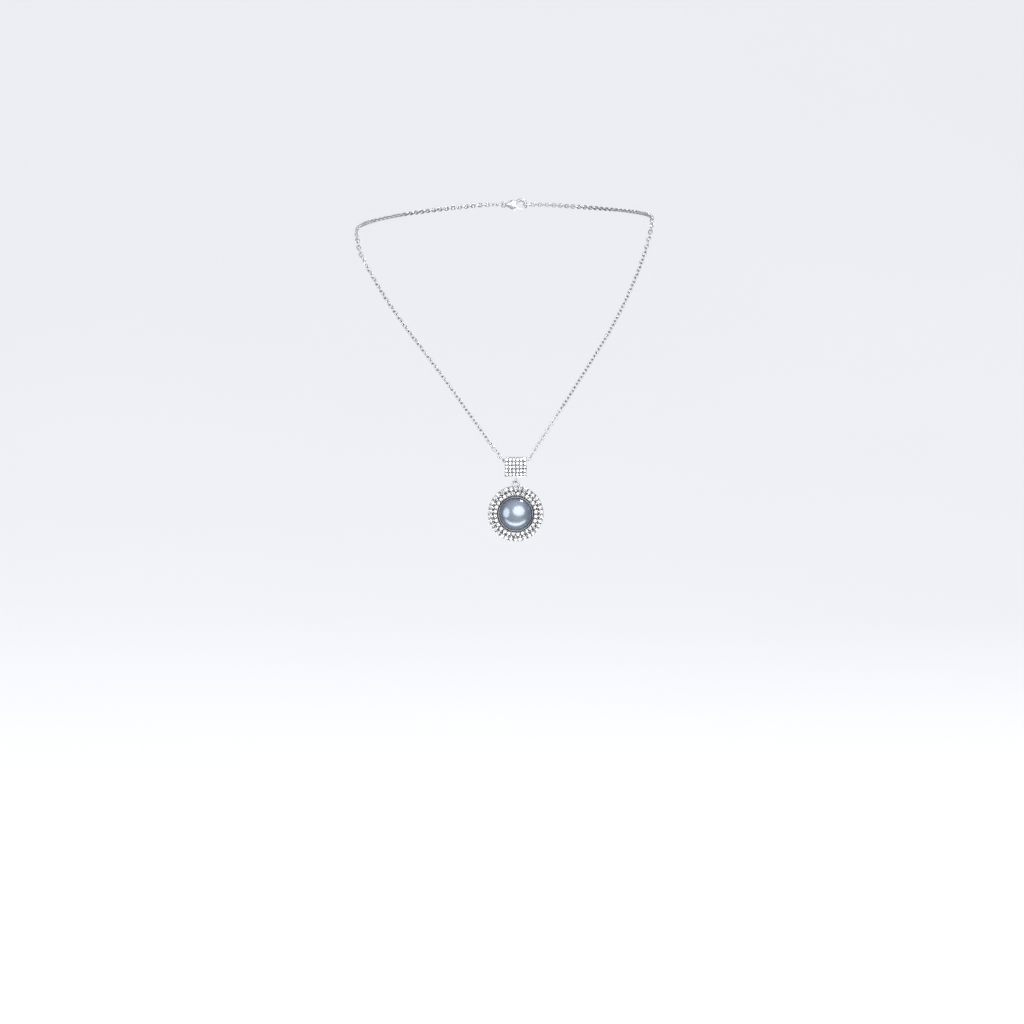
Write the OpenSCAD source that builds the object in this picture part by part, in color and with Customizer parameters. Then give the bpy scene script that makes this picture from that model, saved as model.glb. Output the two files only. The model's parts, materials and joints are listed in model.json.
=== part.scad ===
// Pendant necklace: a fine cable chain that runs through a stone-set slide bail,
// a drop ring, and a round halo pendant with a half-round pearl. A lobster clasp
// closes the chain at the nape.
// Frame: origin at the nape on the chain line, where the necklace rests on the
// back of a neck. +Z up, the wearer's front is -Y, millimetres.

/* [Chain] */
// Thickness of the chain wire
wire_d = 0.38; // [0.34:0.01:0.40]
// Outer width of one oval link
link_w = 1.6; // [1.5:0.05:1.65]
// Play between two neighbouring links when the chain is taut
link_play = 0.03; // [0.02:0.005:0.05]
// Inner length of one oval link
link_in = 1.51; // [1.45:0.01:1.6]

/* [Bail] */
// Width of the slide bail along the chain
bail_w = 7.9; // [7.4:0.1:8.4]
// Height of the stone plate below the chain line
bail_drop = 5.2; // [5:0.1:5.6]
// Inner radius of the bail's channel for the chain
bail_r = 1.2; // [1.18:0.01:1.25]
// Wall of the folded strap
bail_wall = 0.45; // [0.35:0.05:0.6]
// Thickness of the front plate that holds the stones
bail_plate = 0.7; // [0.6:0.05:0.9]
// Stones across the bail
bail_cols = 6; // [5:1:6]
// Rows of stones down the bail
bail_rows = 5; // [4:1:5]
// Girdle diameter of a bail stone
bail_stone = 1.12; // [0.9:0.01:1.14]

/* [Pendant] */
// Outer radius of the halo
halo_r = 9.95; // [9.9:0.05:10.2]
// Inner radius of the halo's opening
halo_in = 6.4; // [6.35:0.05:6.45]
// Stones in the outer row
n_outer = 34; // [28:1:34]
// Stones in the inner row
n_inner = 28; // [22:1:28]
// Girdle diameter of an outer stone
d_outer = 1.5; // [1.2:0.05:1.5]
// Girdle diameter of an inner stone
d_inner = 1.4; // [1.1:0.05:1.4]
// Outer radius of the pearl's bezel
bezel_r = 6.2; // [6:0.05:6.25]
// Radius of the half-round pearl at its base
pearl_r = 5.75; // [5.4:0.05:5.8]
// Rise of the pearl's dome above the straight part of its side
pearl_rise = 3.5; // [3:0.1:4]

/* [Clasp] */
// Thickness of the clasp body
clasp_t = 1.8; // [1.7:0.05:2]
// Radius of the clasp's hook at the middle of its bar
hook_r = 1.75; // [1.7:0.01:1.8]
// Radius of the hook's round bar
hook_bar = 0.55; // [0.5:0.01:0.56]
// Width of the slot that the lever turns in
slot_w = 0.8; // [0.78:0.01:0.9]

/* [Hidden] */
eps = 0.01;

// where the bail hangs on the chain, and the centre of the halo
bail_at = [0, -94, -87.6];
halo_at = [0, -94, -106];

// routes of the two strands, from the bail up to the shoulder and back to the nape
route_left = [[1.7, -94, -87.6], [0, -94, -87.6], [-1.7, -94, -87.6],
    [-3.4, -94, -87.6], [-4.6, -93.8, -86.9], [-6.5, -93.3, -84.6],
    [-9.6, -92.4, -80.4], [-14.5, -90.8, -73.6], [-21.6, -88, -63.8],
    [-30.4, -84, -52], [-39, -79.8, -41], [-46.6, -75.7, -30.2],
    [-52.3, -71.8, -20.8], [-55.3, -69.1, -15], [-56.5, -66, -9.8],
    [-56.6, -61.4, -7], [-55.6, -54, -5.8], [-51, -41.5, -4.4],
    [-42.4, -27.5, -3], [-30.4, -14.6, -1.6], [-18.4, -5.6, -0.5],
    [-12.6, -2, -0.1], [-8.6, -0.2, 0], [-6, 0, 0], [-3, 0, 0]];
route_right = [[-1.7, -94, -87.6], [0, -94, -87.6], [1.7, -94, -87.6],
    [3.4, -94, -87.6], [4.6, -93.8, -86.9], [6.3, -93.2, -84.2],
    [9, -92.3, -80], [13.5, -90.5, -73], [19.7, -87.8, -63.6],
    [27, -84.6, -52.2], [33.6, -81, -41.6], [39.4, -77, -30.6],
    [43.8, -73, -20.6], [46.6, -70, -12.8], [48.2, -66.6, -6.4],
    [48.6, -61.6, -3], [47.6, -54, -2], [43.6, -41.5, -1.4],
    [36.4, -27.5, -1], [26.4, -14.6, -0.6], [16.4, -5.8, -0.2],
    [10.8, -2, 0], [7.2, -0.2, 0], [4.6, 0, 0], [2, 0, 0]];
crest_at = 14; // index of the route point on the shoulder crest

// smooth curve through the route points, and its length table
function spline(a, b, c, d, t) = 0.5 * (2 * b + (c - a) * t
    + (2 * a - 5 * b + 4 * c - d) * t * t
    + (3 * b - a - 3 * c + d) * t * t * t);
function walk(r, n = 16) = concat([for (i = [1 : len(r) - 3], j = [0 : n - 1])
    spline(r[i - 1], r[i], r[i + 1], r[i + 2], j / n)], [r[len(r) - 2]]);
function lengths(p) = [for (i = 0, s = 0; i < len(p);
    s = s + (i + 1 < len(p) ? norm(p[i + 1] - p[i]) : 0), i = i + 1) s];
function table(p, l, k) = [for (i = [0 : len(p) - 1]) [l[i], p[i][k]]];
function unit(v) = v / norm(v);

play_pitch = link_in - link_play;
walk_l = walk(route_left);
walk_r = walk(route_right);
len_l = lengths(walk_l);
len_r = lengths(walk_r);
tab_l = [for (k = [0 : 2]) table(walk_l, len_l, k)];
tab_r = [for (k = [0 : 2]) table(walk_r, len_r, k)];
function at(tab, s) = [for (k = [0 : 2]) lookup(s, tab[k])];

wire_r = wire_d / 2;
link_bend = (link_w - wire_d) / 2;
link_leg = link_in + wire_d - 2 * link_bend;

// clasp parts along X: eye ring, hook, jump ring and end ring
eye_x = -4.4;
eye_r = 0.85;
eye_bar = 0.3;
hook_x = 2;
jump_bar = 0.25;
jump_r = 1.2;
jump_x = eye_x - eye_r + eye_bar + jump_bar + 0.03 - jump_r;
end_bar = 0.3;
end_r = 1.45;
end_x = hook_x + hook_r - hook_bar - end_bar - 0.03 + end_r;
pivot = [0.15, -0.35];
pin_r = 0.25;

// each strand ends where its last link hangs in the jump ring or the end ring
span_l = len_l[len(len_l) - 1] + route_left[len(route_left) - 2].x
    * -1 + (jump_x - jump_r + jump_bar - 0.02);
span_r = len_r[len(len_r) - 1] + route_right[len(route_right) - 2].x
    - (end_x + end_r - end_bar + 0.02);
links_l = round(span_l / play_pitch);
links_r = round(span_r / play_pitch);
pitch_l = span_l / links_l;
pitch_r = span_r / links_r;
crest_l = round(len_l[16 * (crest_at - 1)] / pitch_l) + 2;
crest_r = round(len_r[16 * (crest_at - 1)] / pitch_r) + 2;

knots_l = [for (i = [0 : links_l]) at(tab_l, i * pitch_l)];
knots_r = [for (i = [0 : links_r]) at(tab_r, i * pitch_r)];

// a frame that doesn't twist, carried along each strand from the bail
function carry(k) = [for (i = 0, t = unit(k[1] - k[0]), n = [0, -1, 0];
    i < len(k) - 1;
    i = i + 1, t = i < len(k) - 1 ? unit(k[i + 1] - k[i]) : t,
    n = unit(n - (n * t) * t)) [t, n]];
frames_l = carry(knots_l);
frames_r = carry(knots_r);

// pivot line over both shoulders, through the wires of the first front links
reach = link_in / 2 + wire_r;
function mid(k, i) = (k[i] + k[i + 1]) / 2;
lift_l = mid(knots_l, crest_l - 1) + reach * frames_l[crest_l - 1][0];
lift_r = mid(knots_r, crest_r - 1) + reach * frames_r[crest_r - 1][0];
lift_axis = unit(lift_r - lift_l);

// roll that lays a link's plane along a direction
function roll_to(f, a) = atan2(a * f[1], a * cross(f[0], f[1]));
function near_to(a, b) = a + 180 * round((b - a) / 180);
function ease(t) = let (u = min(max(t, 0), 1)) u * u * (3 - 2 * u);
function blend(a, b, t) = a + (b - a) * ease(t);
crest_roll_l = roll_to(frames_l[crest_l - 1], lift_axis) - 90 * (crest_l - 1);
crest_roll_r = roll_to(frames_r[crest_r - 1], lift_axis) - 90 * crest_r;
end_roll_l = roll_to(frames_l[links_l - 1], [0, 0, 1]) - 90 * (links_l - 1);
end_roll_r = roll_to(frames_r[links_r - 1], [0, 0, 1]) - 90 * links_r;
turn_l = near_to(crest_roll_l, 45);
turn_r = near_to(crest_roll_r, 45);
last_l = near_to(end_roll_l, turn_l);
last_r = near_to(end_roll_r, turn_r);
function roll_l(i) = 90 * i + (i < crest_l
    ? (i < crest_l - 16 ? blend(0, 45, (i - 3) / 6) : blend(45, turn_l, (i - crest_l + 16) / 14))
    : blend(turn_l, last_l, (i - crest_l - 4) / (links_l - crest_l - 10)));
function roll_r(i) = 90 * (i + 1) + (i < crest_r
    ? (i < crest_r - 16 ? blend(0, 45, (i - 11) / 12) : blend(45, turn_r, (i - crest_r + 16) / 14))
    : blend(turn_r, last_r, (i - crest_r - 4) / (links_r - crest_r - 10)));

module ring(r, bar, deg = 360) {
    rotate_extrude(angle = deg, $fn = 64) translate([r, 0]) circle(r = bar, $fn = 36);
}

// one oval link, long axis along X, lying in the XY plane
module link() {
    for (s = [-1, 1]) {
        translate([s * link_leg / 2, 0, 0]) rotate(s > 0 ? -90 : 90)
            rotate_extrude(angle = 180, $fn = 48)
                translate([link_bend, 0]) circle(r = wire_r, $fn = 36);
        translate([-link_leg / 2, s * link_bend, 0]) rotate([0, 90, 0])
            cylinder(r = wire_r, h = link_leg, $fn = 36);
    }
}

module laid_link(p, f, roll) {
    t = f[0];
    n = f[1];
    b = cross(t, n);
    v = cos(roll) * b + sin(roll) * n;
    w = cross(t, v);
    multmatrix([[t.x, v.x, w.x, p.x], [t.y, v.y, w.y, p.y],
        [t.z, v.z, w.z, p.z], [0, 0, 0, 1]]) link();
}

module strand_left(a, b) {
    for (i = [a : b]) laid_link(mid(knots_l, i), frames_l[i], roll_l(i));
}

module strand_right(a, b) {
    for (i = [a : b]) laid_link(mid(knots_r, i), frames_r[i], roll_r(i));
}

bail_links = 3; // links each side of the middle of the bail

module chain_bail_links() {
    color("silver") {
        strand_left(0, bail_links - 1);
        strand_right(0, bail_links - 1);
    }
}

module chain_front_left() {
    color("silver") strand_left(bail_links, crest_l - 1);
}

module chain_front_right() {
    color("silver") strand_right(bail_links, crest_r - 1);
}

module chain_back_left() {
    color("silver") strand_left(crest_l, links_l - 1);
}

module chain_back_right() {
    color("silver") strand_right(crest_r, links_r - 1);
}

// a round brilliant, girdle at z = 0, table up
module stone(d) {
    translate([0, 0, -0.43 * d]) cylinder(h = 0.43 * d, r1 = 0.01, r2 = d / 2, $fn = 32);
    cylinder(h = 0.16 * d, r1 = d / 2, r2 = 0.29 * d, $fn = 32);
}

// the seat drilled for a stone, open upwards
module seat(d) {
    translate([0, 0, -0.43 * d - 0.02]) cylinder(h = 0.43 * d, r1 = 0.01, r2 = d / 2, $fn = 32);
    translate([0, 0, -0.02]) cylinder(h = 1, r = d / 2, $fn = 32);
}

// ---- bail: local X along the chain, chain line at the origin ----
plate_y = -bail_r - bail_plate;
bar_z = -4.52;
bar_r = 0.3;
col_pitch = 1.28;
row_pitch = 1.29;
stone_mid = -1.78;

module bail_stone_spots() {
    for (c = [0 : bail_cols - 1], r = [0 : bail_rows - 1])
        translate([(c - (bail_cols - 1) / 2) * col_pitch, plate_y,
            stone_mid + (r - (bail_rows - 1) / 2) * row_pitch]) rotate([90, 0, 0]) children();
}

module bail_shell() {
    color("gainsboro") translate(bail_at) difference() {
        union() {
            // folded strap: half-round top, open at the back below
            rotate([90, 0, 90]) translate([0, 0, -bail_w / 2]) linear_extrude(bail_w) {
                difference() {
                    union() {
                        circle(r = bail_r + bail_wall, $fn = 64);
                        translate([bail_r, -3]) square([bail_wall, 3]);
                        translate([plate_y, -bail_drop]) square([bail_plate, bail_drop + 1.6]);
                    }
                    circle(r = bail_r, $fn = 64);
                    translate([-bail_r, -6]) square([2 * bail_r, 6]);
                }
            }
            // end cheeks that carry the hidden bar
            for (s = [-1, 1]) translate([s * (bail_w / 2 - 0.225) - 0.225, -bail_r - 0.01, -bail_drop])
                cube([0.45, 2 * bail_r + 0.2, 2.1]);
        }
        translate([-bail_w / 2 - 1, 0, bar_z]) rotate([0, 90, 0])
            cylinder(r = bar_r, h = bail_w + 2, $fn = 36);
        bail_stone_spots() translate([0, 0, -0.04]) seat(bail_stone);
    }
}

module bail_bar() {
    color("silver") translate(bail_at) translate([-bail_w / 2, 0, bar_z])
        rotate([0, 90, 0]) cylinder(r = bar_r, h = bail_w, $fn = 36);
}

module bail_stones() {
    color("white") translate(bail_at) bail_stone_spots()
        translate([0, 0, -0.04]) stone(bail_stone);
}

// ---- drop ring: an oval ring seen edge-on from the front ----
drop_bar = 0.275;
drop_bend = 0.695;
top_r = 1.1;
top_bar = 0.33;
top_z = halo_at.z + 10.55;
drop_low = top_z + top_r - top_bar - drop_bar - 0.02;
drop_high = bail_at.z + bar_z + bar_r + drop_bar + 0.02;
drop_leg = drop_high - drop_low - 2 * drop_bend;

module drop_jump_ring() {
    color("silver") translate([0, bail_at.y, (drop_low + drop_high) / 2]) rotate([0, 90, 0])
        for (s = [-1, 1]) {
            translate([s * drop_leg / 2, 0, 0]) rotate(s > 0 ? -90 : 90)
                rotate_extrude(angle = 180, $fn = 48)
                    translate([drop_bend, 0]) circle(r = drop_bar, $fn = 36);
            translate([-drop_leg / 2, s * drop_bend, 0]) rotate([0, 90, 0])
                cylinder(r = drop_bar, h = drop_leg, $fn = 36);
        }
}

// ---- pendant: local Z towards the front, local Y up ----
halo_front = 1.3;
halo_back = -0.9;
plate_back = -1.3;
row_outer = 9.1;
row_inner = 7.22;
cup_floor = -0.5;
bezel_top = 2.05;

module on_pendant() {
    translate(halo_at) rotate([90, 0, 0]) children();
}

module pendant_top_ring() {
    color("silver") on_pendant() difference() {
        translate([0, 10.55, 0]) ring(top_r, top_bar);
        translate([0, 0, -2]) cylinder(r = halo_r, h = 4, $fn = 128);
    }
}

module row(n, r, turn = 0) {
    for (i = [0 : n - 1]) rotate(turn + i * 360 / n) translate([0, r, 0]) children();
}

module halo_setting() {
    color("gainsboro") on_pendant() difference() {
        rotate_extrude($fn = 128) polygon([[halo_in, halo_back], [halo_r - 0.3, halo_back],
            [halo_r, halo_back + 0.5], [halo_r, halo_front - 0.2],
            [halo_r - 0.04, halo_front], [halo_in + 0.05, halo_front],
            [halo_in, halo_front - 0.1]]);
        row(n_outer, row_outer) translate([0, 0, halo_front - 0.05]) seat(d_outer);
        row(n_inner, row_inner, 180 / n_inner) translate([0, 0, halo_front - 0.05]) seat(d_inner);
    }
}

module halo_outer_stones() {
    color("white") on_pendant() row(n_outer, row_outer)
        translate([0, 0, halo_front - 0.05]) stone(d_outer);
}

module halo_inner_stones() {
    color("white") on_pendant() row(n_inner, row_inner, 180 / n_inner)
        translate([0, 0, halo_front - 0.05]) stone(d_inner);
}

module bezel_cup() {
    color("silver") on_pendant() rotate_extrude($fn = 128)
        polygon([[0, halo_back], [bezel_r, halo_back], [bezel_r, bezel_top - 0.15],
            [bezel_r - 0.15, bezel_top], [pearl_r + 0.1, bezel_top],
            [pearl_r + 0.02, bezel_top - 0.1], [pearl_r + 0.02, cup_floor], [0, cup_floor]]);
}

module back_plate() {
    color("silver") on_pendant() translate([0, 0, plate_back])
        cylinder(r = halo_r - 0.35, h = halo_back - plate_back, $fn = 128);
}

module pearl_cement() {
    color("ivory") on_pendant() translate([0, 0, cup_floor])
        cylinder(r = pearl_r - 0.3, h = 0.1, $fn = 96);
}

module pearl() {
    side = bezel_top - 0.35;
    ball = (pearl_r * pearl_r + pearl_rise * pearl_rise) / (2 * pearl_rise);
    color("lightsteelblue") on_pendant() intersection() {
        translate([0, 0, side + pearl_rise - ball]) sphere(r = ball, $fn = 128);
        translate([0, 0, cup_floor + 0.1]) cylinder(r = pearl_r, h = 8, $fn = 128);
    }
}

// ---- clasp: local X along the chain, local Y up, local Z towards the front ----
module on_clasp() {
    rotate([90, 0, 0]) children();
}

module clasp_body() {
    color("silver") on_clasp() difference() {
        union() {
            // round bar of the hook, from the body over the top to its tip
            translate([hook_x, 0, 0]) rotate(-38) ring(hook_r, hook_bar, 213);
            // body between the hook and the eye
            translate([0, 0, -clasp_t / 2]) linear_extrude(clasp_t) difference() {
                union() {
                    translate([-1.1, 0]) circle(r = 1.7, $fn = 64);
                    polygon([[-1.5, 1.65], [-3.62, 0.5], [-3.62, -0.5], [-1.5, -1.65]]);
                }
                translate([hook_x, 0]) circle(r = hook_r - hook_bar, $fn = 64);
            }
            translate([eye_x, 0, 0]) ring(eye_r, eye_bar);
        }
        // slot for the lever, open towards the mouth, and the pivot's bore
        translate([-2.2, -3, -slot_w / 2]) cube([4.4, 3.9, slot_w]);
        translate([pivot.x, pivot.y, -2]) cylinder(r = pin_r, h = 4, $fn = 36);
    }
}

lever_t = 0.7;

module clasp_lever() {
    color("silver") on_clasp() difference() {
        union() {
            translate([pivot.x, pivot.y, -lever_t / 2 - 0.03])
                cylinder(r = 0.52, h = lever_t + 0.06, $fn = 48);
            // gate that closes the hook's mouth, web to the hub, and thumb nub
            translate([0, 0, -lever_t / 2]) linear_extrude(lever_t) polygon(concat(
                [for (g = [-58 : -6 : -136]) [hook_x, 0] + (hook_r + 0.42) * [cos(g), sin(g)]],
                [[0.3, -2], [-0.6, -2.7], [-1, -2.5], [-0.25, -0.6], [0.1, -0.1]],
                [for (g = [-172 : 6 : -58]) [hook_x, 0] + (hook_r - 0.42) * [cos(g), sin(g)]]));
        }
        translate([pivot.x, pivot.y, -2]) cylinder(r = pin_r + 0.02, h = 4, $fn = 36);
    }
}

module clasp_pivot_pin() {
    color("silver") on_clasp() translate([pivot.x, pivot.y, -clasp_t / 2])
        cylinder(r = pin_r, h = clasp_t, $fn = 36);
}

module clasp_spring() {
    // leaf that lies in the back of the slot and presses on the lever's hub
    color("gray") on_clasp() translate([-1.4, -0.2, 0]) rotate(20)
        rotate_extrude(angle = 140, $fn = 64) translate([0.8, -0.3]) square([0.14, 0.6]);
}

module clasp_jump_ring() {
    color("silver") translate([jump_x, 0, 0]) ring(jump_r, jump_bar);
}

module chain_end_ring() {
    color("silver") translate([end_x, 0, 0]) ring(end_r, end_bar);
}

chain_front_left();
chain_front_right();
chain_bail_links();
chain_back_left();
chain_back_right();
clasp_body();
clasp_lever();
clasp_pivot_pin();
clasp_spring();
clasp_jump_ring();
chain_end_ring();
bail_shell();
bail_bar();
bail_stones();
drop_jump_ring();
pendant_top_ring();
halo_setting();
halo_outer_stones();
halo_inner_stones();
bezel_cup();
back_plate();
pearl_cement();
pearl();
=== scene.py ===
import json
import math

import bpy
import numpy as np
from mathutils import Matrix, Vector


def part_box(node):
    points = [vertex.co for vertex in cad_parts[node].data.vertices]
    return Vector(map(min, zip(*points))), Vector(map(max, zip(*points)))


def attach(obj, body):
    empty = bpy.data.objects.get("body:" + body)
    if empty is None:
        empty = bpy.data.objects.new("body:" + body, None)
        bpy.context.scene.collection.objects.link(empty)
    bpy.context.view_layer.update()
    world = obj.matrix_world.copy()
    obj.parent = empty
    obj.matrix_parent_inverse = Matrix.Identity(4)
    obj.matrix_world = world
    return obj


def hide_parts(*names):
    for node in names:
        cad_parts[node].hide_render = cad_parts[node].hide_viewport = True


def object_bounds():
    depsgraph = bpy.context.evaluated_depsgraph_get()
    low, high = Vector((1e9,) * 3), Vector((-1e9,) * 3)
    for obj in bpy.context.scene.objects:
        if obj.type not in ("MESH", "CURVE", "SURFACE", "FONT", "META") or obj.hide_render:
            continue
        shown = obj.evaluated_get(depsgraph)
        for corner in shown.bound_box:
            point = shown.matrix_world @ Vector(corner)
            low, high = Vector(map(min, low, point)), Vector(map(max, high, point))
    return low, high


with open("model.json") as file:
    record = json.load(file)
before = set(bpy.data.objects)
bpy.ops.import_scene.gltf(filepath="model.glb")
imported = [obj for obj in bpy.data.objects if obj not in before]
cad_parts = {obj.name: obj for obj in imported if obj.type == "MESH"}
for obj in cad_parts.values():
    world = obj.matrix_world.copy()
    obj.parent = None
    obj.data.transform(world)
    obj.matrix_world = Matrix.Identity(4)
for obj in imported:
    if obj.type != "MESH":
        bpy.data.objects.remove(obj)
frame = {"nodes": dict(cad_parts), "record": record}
cad_low, cad_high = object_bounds()
MM = 0.001
rng = np.random.default_rng(7)

# ------------------------------------------------------------------ stage
scene = bpy.context.scene
scene.view_settings.view_transform = "Standard"
scene.view_settings.look = "None"
scene.view_settings.exposure = 0.0

joints = {j["name"]: j for j in frame["record"]["behaviour"]["joints"]}
halo_lo, halo_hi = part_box("halo_setting")
HALO = np.array([(halo_lo.x + halo_hi.x) / 2, joints["pendant_sway"]["pos_m"][1], (halo_lo.z + halo_hi.z) / 2]) / MM
BAIL = np.array(joints["bail_swing"]["pos_m"]) / MM
FLOOR = cad_low.z - 0.165

cam_data = bpy.data.cameras.new("camera")
cam = bpy.data.objects.new("camera", cam_data)
scene.collection.objects.link(cam)
scene.camera = cam
cam_data.sensor_width = 36.0
cam_data.lens = 200.0
cam_data.clip_start, cam_data.clip_end = 0.05, 60.0
cam.location = (HALO[0] * MM - 0.001306, HALO[1] * MM - 2.00079, HALO[2] * MM + 0.172095)
cam.rotation_euler = (math.radians(90 - 4.9), 0, 0)


# ------------------------------------------------------------------ mesh helpers
class Builder:
    """Collects closed shells into one mesh, in millimetres."""

    def __init__(self):
        self.v, self.f, self.m, self.n = [], [], [], 0

    def add(self, verts, faces, mat=0):
        verts = np.asarray(verts, float)
        self.v.append(verts)
        self.f.extend([[i + self.n for i in face] for face in faces])
        self.m.extend([mat] * len(faces))
        self.n += len(verts)

    def make(self, name, mats, sharp=40.0):
        me = bpy.data.meshes.new(name)
        me.from_pydata((np.concatenate(self.v) * MM).tolist(), [], self.f)
        for mat in mats:
            me.materials.append(mat)
        me.polygons.foreach_set("material_index", np.array(self.m, np.int32))
        me.validate()
        me.shade_smooth()
        if sharp is not None:
            me.set_sharp_from_angle(angle=math.radians(sharp))
        me.update()
        ob = bpy.data.objects.new(name, me)
        scene.collection.objects.link(ob)
        return ob


def lathe(profile, seg, closed=True):
    """Turns (r, z) points round the Z axis. A closed profile makes a ring; an open one has its ends on the axis."""
    p = np.asarray(profile, float)
    ang = np.linspace(0, 2 * math.pi, seg, endpoint=False)
    verts, faces, ids = [], [], []
    for r, z in p:
        if r < 1e-9:
            ids.append([len(verts)] * seg)
            verts.append((0, 0, z))
        else:
            ids.append(list(range(len(verts), len(verts) + seg)))
            verts.extend((r * math.cos(a), r * math.sin(a), z) for a in ang)
    n = len(p)
    for i in range(n if closed else n - 1):
        a, b = ids[i], ids[(i + 1) % n]
        for k in range(seg):
            l = (k + 1) % seg
            quad = [a[k], a[l], b[l], b[k]]
            face = []
            for q in quad:
                if q not in face:
                    face.append(q)
            if len(face) > 2:
                faces.append(face)
    return np.array(verts), faces


def loop_tube(pts, bar, sides):
    """A round bar along a closed curve in the XY plane."""
    p = np.asarray(pts, float)
    t = np.roll(p, -1, 0) - np.roll(p, 1, 0)
    t /= np.linalg.norm(t, axis=1)[:, None]
    nrm = np.stack([t[:, 1], -t[:, 0]], 1)
    a = np.linspace(0, 2 * math.pi, sides, endpoint=False)
    ring = bar * np.cos(a)[None, :, None] * nrm[:, None, :]
    v = np.concatenate([p[:, None, :] + ring, np.broadcast_to(bar * np.sin(a)[None, :, None], (len(p), sides, 1))], 2)
    faces = []
    for i in range(len(p)):
        j = (i + 1) % len(p)
        for k in range(sides):
            l = (k + 1) % sides
            faces.append([i * sides + k, i * sides + l, j * sides + l, j * sides + k])
    return v.reshape(-1, 3), faces


def stadium(leg, bend, n):
    """A closed oval of two half circles joined by straight legs along X."""
    pts = []
    for k in range(n):
        a = -math.pi / 2 + math.pi * k / (n - 1)
        pts.append((leg / 2 + bend * math.cos(a), bend * math.sin(a)))
    for k in range(n):
        a = math.pi / 2 + math.pi * k / (n - 1)
        pts.append((-leg / 2 + bend * math.cos(a), bend * math.sin(a)))
    return np.array(pts)


def oval(a, b, power, n):
    """A soft oval, rounder than a stadium."""
    t = np.linspace(0, 2 * math.pi, n, endpoint=False) + math.pi / n
    c, s = np.cos(t), np.sin(t)
    return np.stack([a * np.sign(c) * np.abs(c) ** (2 / power), b * np.sign(s) * np.abs(s) ** (2 / power)], 1)


def brilliant(d, table=0.56, crown=0.155, pavilion=0.43):
    """A round brilliant of diameter d with its full facets, girdle at z = 0."""
    R = d / 2
    hc, hp, g = crown * d, pavilion * d, 0.012 * d
    cos22 = math.cos(math.pi / 8)

    def at(r, deg, z):
        return (R * r * math.cos(math.radians(deg)), R * r * math.sin(math.radians(deg)), z)

    rm, rl = 0.8, 0.22
    zm = g + hc * (1 - rm * cos22) / (1 - table)
    zl = -g - hp * (1 - rl * cos22)
    T = [at(table, 45 * k, hc + g) for k in range(8)]
    M = [at(rm, 45 * k + 22.5, zm) for k in range(8)]
    G = [at(1, 22.5 * k, g) for k in range(16)]
    H = [at(1, 22.5 * k, -g) for k in range(16)]
    L = [at(rl, 45 * k + 22.5, zl) for k in range(8)]
    C = [(0, 0, -g - hp)]
    v = np.array(T + M + G + H + L + C)
    t, m, gi, h, l, c = 0, 8, 16, 32, 48, 56
    f = [[t + k for k in range(8)]]
    for k in range(8):
        n = (k + 1) % 8
        p = (k - 1) % 8
        f.append([t + k, m + k, t + n])
        f.append([t + k, m + p, gi + 2 * k, m + k])
        f.append([m + k, gi + 2 * k, gi + 2 * k + 1])
        f.append([m + k, gi + 2 * k + 1, gi + (2 * k + 2) % 16])
        f.append([c, l + k, h + 2 * k, l + p])
        f.append([l + k, h + 2 * k + 1, h + 2 * k])
        f.append([l + k, h + (2 * k + 2) % 16, h + 2 * k + 1])
    for k in range(16):
        n = (k + 1) % 16
        f.append([gi + k, h + k, h + n, gi + n])
    return v, f


def turn(v, deg):
    a = math.radians(deg)
    c, s = math.cos(a), math.sin(a)
    m = np.array([[c, -s, 0], [s, c, 0], [0, 0, 1]])
    return v @ m.T


def tilt(v, deg_x, deg_y):
    a, b = math.radians(deg_x), math.radians(deg_y)
    mx = np.array([[1, 0, 0], [0, math.cos(a), -math.sin(a)], [0, math.sin(a), math.cos(a)]])
    my = np.array([[math.cos(b), 0, math.sin(b)], [0, 1, 0], [-math.sin(b), 0, math.cos(b)]])
    return v @ mx.T @ my.T


def front(v, origin):
    """Local Z towards the front (-Y), local Y up."""
    v = np.asarray(v, float)
    return np.stack([v[:, 0], -v[:, 2], v[:, 1]], 1) + np.asarray(origin, float)


def bead(r, seg=14, rows=5, deep=0.8):
    """A rounded grain of metal that stands on the surface below it."""
    prof = [(0, -deep)] + [(r * 0.9, -deep), (r, -deep * 0.4)]
    for k in range(rows + 1):
        a = math.pi / 2 * k / rows
        prof.append((r * math.cos(a) if k < rows else 0, r * 0.85 * math.sin(a)))
    return lathe(prof, seg, closed=False)


# ------------------------------------------------------------------ materials
def new_material(name):
    mat = bpy.data.materials.new(name)
    mat.use_nodes = True
    nt = mat.node_tree
    bsdf = nt.nodes["Principled BSDF"]
    return mat, nt, bsdf


def coords(nt, scale):
    tc = nt.nodes.new("ShaderNodeTexCoord")
    mp = nt.nodes.new("ShaderNodeMapping")
    mp.inputs["Scale"].default_value = scale
    nt.links.new(tc.outputs["Object"], mp.inputs["Vector"])
    return mp.outputs["Vector"]


def noise(nt, vec, scale, detail=4.0, rough=0.55):
    n = nt.nodes.new("ShaderNodeTexNoise")
    n.inputs["Scale"].default_value = scale
    n.inputs["Detail"].default_value = detail
    n.inputs["Roughness"].default_value = rough
    nt.links.new(vec, n.inputs["Vector"])
    return n.outputs["Fac"]


def ramp(nt, fac, stops):
    r = nt.nodes.new("ShaderNodeValToRGB")
    while len(r.color_ramp.elements) < len(stops):
        r.color_ramp.elements.new(0.5)
    for e, (p, c) in zip(r.color_ramp.elements, stops):
        e.position = p
        e.color = (*c, 1) if len(c) == 3 else c
    nt.links.new(fac, r.inputs["Fac"])
    return r.outputs["Color"]


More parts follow.
